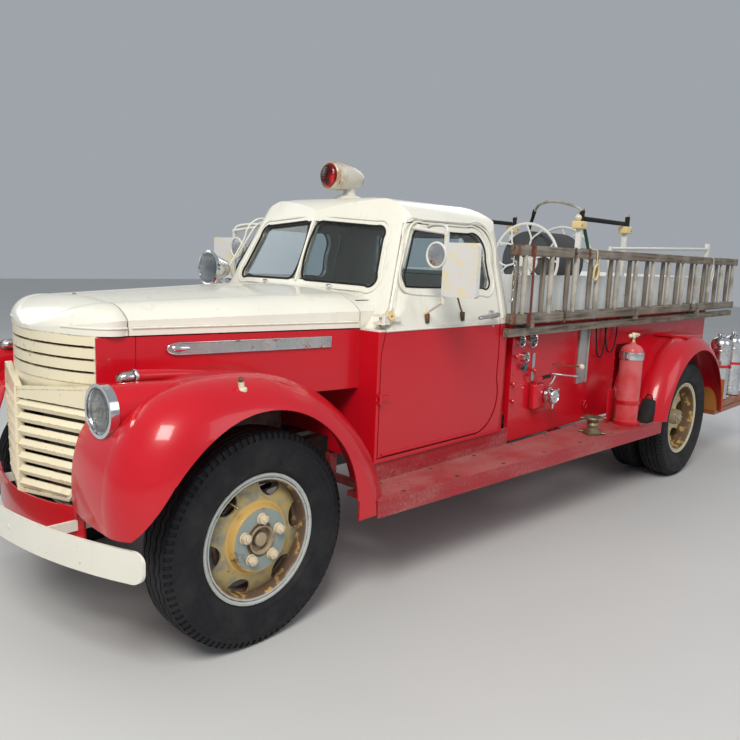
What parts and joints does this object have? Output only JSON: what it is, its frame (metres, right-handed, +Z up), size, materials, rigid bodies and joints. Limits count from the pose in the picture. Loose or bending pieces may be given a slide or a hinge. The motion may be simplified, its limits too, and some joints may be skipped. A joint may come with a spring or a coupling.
{
  "type": "fire engine",
  "caption": "Vintage open-bed fire engine with a two-door cab, prow grille, butterfly hood, side ladders, hose reel, pump fittings and dual rear wheels.",
  "frame": {"origin": "on the ground, halfway between the front of the bumper and the end of the rear step, on the centre plane", "axes": "+X forward, +Y to the vehicle's left, +Z up"},
  "size_m": [6.482, 2.27, 2.1678],
  "materials": {
    "red_paint": "gloss",
    "cream_paint": "faded",
    "white_paint": "faded",
    "grey_white_paint": "faded",
    "frame_black": "matte",
    "cast_grey": "rough",
    "rusty_steel": "rusted",
    "wheel_cream": "faded",
    "tyre": "matte",
    "chrome_old": "pitted",
    "grille_paint": "rusted",
    "bright_metal": "worn",
    "lamp_glass": "clear",
    "window_glass": "clear",
    "seat_vinyl": "worn",
    "black_plastic": "gloss",
    "ladder_wood": "weathered",
    "hose_rubber": "matte",
    "mirror_mount": "faded"
  },
  "bodies": {
    "vehicle": {"frame_rails": "frame_black", "front_axle": "frame_black", "leaf_springs": "frame_black", "rear_axle": "frame_black", "engine": "cast_grey", "radiator": "frame_black", "fuel_tank": "frame_black", "exhaust": "rusty_steel", "bumper": "cream_paint", "hood_sides": "red_paint", "side_strips": "chrome_old", "nose_cap": "cream_paint", "grille_upper": "grille_paint", "grille_lower": "grille_paint", "fenders_front": "red_paint", "valance": "red_paint", "headlamp_rings": "chrome_old", "headlamp_lenses": "lamp_glass", "cab_shell": "cream_paint", "windshield": "window_glass", "rear_glass": "window_glass", "seat": "seat_vinyl", "dash": "red_paint", "running_boards": "red_paint", "body_lower": "red_paint", "hose_bed": "grey_white_paint", "rear_fenders": "red_paint", "tailboard": "rusty_steel", "ladders": "ladder_wood", "ladder_rack": "ladder_wood", "handrails": "white_paint", "reel_frame": "white_paint", "guide_rollers": "hose_rubber", "extinguisher_board": "red_paint", "pump_fittings": "chrome_old", "extinguishers": "bright_metal", "beacon": "red_paint", "spotlight": "chrome_old"},
    "knuckle_left": {"knuckle_left": "frame_black"},
    "knuckle_right": {"knuckle_right": "frame_black"},
    "tie_rod": {"tie_rod": "frame_black"},
    "wheel_front_left": {"wheel_front_left": "wheel_cream", "tyre_front_left": "tyre"},
    "wheel_front_right": {"wheel_front_right": "wheel_cream", "tyre_front_right": "tyre"},
    "wheel_rear_left": {"wheel_rear_left": "wheel_cream", "tyres_rear_left": "tyre"},
    "wheel_rear_right": {"wheel_rear_right": "wheel_cream", "tyres_rear_right": "tyre"},
    "door_left": {"door_left": "cream_paint", "door_glass_left": "window_glass", "mirror_left": "mirror_mount"},
    "door_right": {"door_right": "cream_paint", "door_glass_right": "window_glass", "mirror_right": "mirror_mount"},
    "hood_left": {"hood_left": "cream_paint"},
    "hood_right": {"hood_right": "cream_paint"},
    "hose_reel": {"hose_reel": "white_paint", "hose_winding": "hose_rubber"},
    "steering_wheel": {"steering_wheel": "black_plastic"}
  },
  "joints": [
    {"name": "steer_left", "type": "hinge", "parent": "vehicle", "child": "knuckle_left", "pos_m": [2.48, 0.64, 0.465], "axis": [0, 0, 1], "range_deg": [-30, 30]},
    {"name": "steer_right", "type": "hinge", "parent": "vehicle", "child": "knuckle_right", "pos_m": [2.48, -0.64, 0.465], "axis": [0, 0, 1], "range_deg": [-30, 30]},
    {"name": "spin_front_left", "type": "hinge", "parent": "knuckle_left", "child": "wheel_front_left", "pos_m": [2.48, 0.745, 0.465], "axis": [0, 1, 0], "continuous": true},
    {"name": "spin_front_right", "type": "hinge", "parent": "knuckle_right", "child": "wheel_front_right", "pos_m": [2.48, -0.745, 0.465], "axis": [0, 1, 0], "continuous": true},
    {"name": "spin_rear_left", "type": "hinge", "parent": "vehicle", "child": "wheel_rear_left", "pos_m": [-1.584, 0.835, 0.465], "axis": [0, 1, 0], "continuous": true},
    {"name": "spin_rear_right", "type": "hinge", "parent": "vehicle", "child": "wheel_rear_right", "pos_m": [-1.584, -0.835, 0.465], "axis": [0, 1, 0], "continuous": true},
    {"name": "door_left_hinge", "type": "hinge", "parent": "vehicle", "child": "door_left", "pos_m": [1.714, 0.767, 1.2], "axis": [0, 0, -1], "range_deg": [0, 65]},
    {"name": "door_right_hinge", "type": "hinge", "parent": "vehicle", "child": "door_right", "pos_m": [1.714, -0.767, 1.2], "axis": [0, 0, 1], "range_deg": [0, 65]},
    {"name": "hood_left_hinge", "type": "hinge", "parent": "vehicle", "child": "hood_left", "pos_m": [1.728, 0.015, 1.473], "axis": [0.9992, 0, -0.0399], "range_deg": [0, 60]},
    {"name": "hood_right_hinge", "type": "hinge", "parent": "vehicle", "child": "hood_right", "pos_m": [1.728, -0.015, 1.473], "axis": [-0.9992, 0, 0.0399], "range_deg": [0, 60]},
    {"name": "reel_spin", "type": "hinge", "parent": "vehicle", "child": "hose_reel", "pos_m": [-1.03, 0, 1.652], "axis": [1, 0, 0], "continuous": true},
    {"name": "steering_wheel_turn", "type": "hinge", "parent": "vehicle", "child": "steering_wheel", "pos_m": [1.25, 0.34, 1.33], "axis": [-0.5592, 0, 0.829], "range_deg": [-601, 601]},
    {"name": "tie_rod_slide", "type": "slide", "parent": "vehicle", "child": "tie_rod", "axis": [0, 1, 0], "range_m": [-0.079, 0.079]}
  ],
  "couplings": [
    {"joint": "steer_right", "follows": "steer_left", "ratio": 1},
    {"joint": "steering_wheel_turn", "follows": "steer_left", "ratio": 20},
    {"joint": "tie_rod_slide", "follows": "steer_left", "m_per_rad": -0.15}
  ]
}
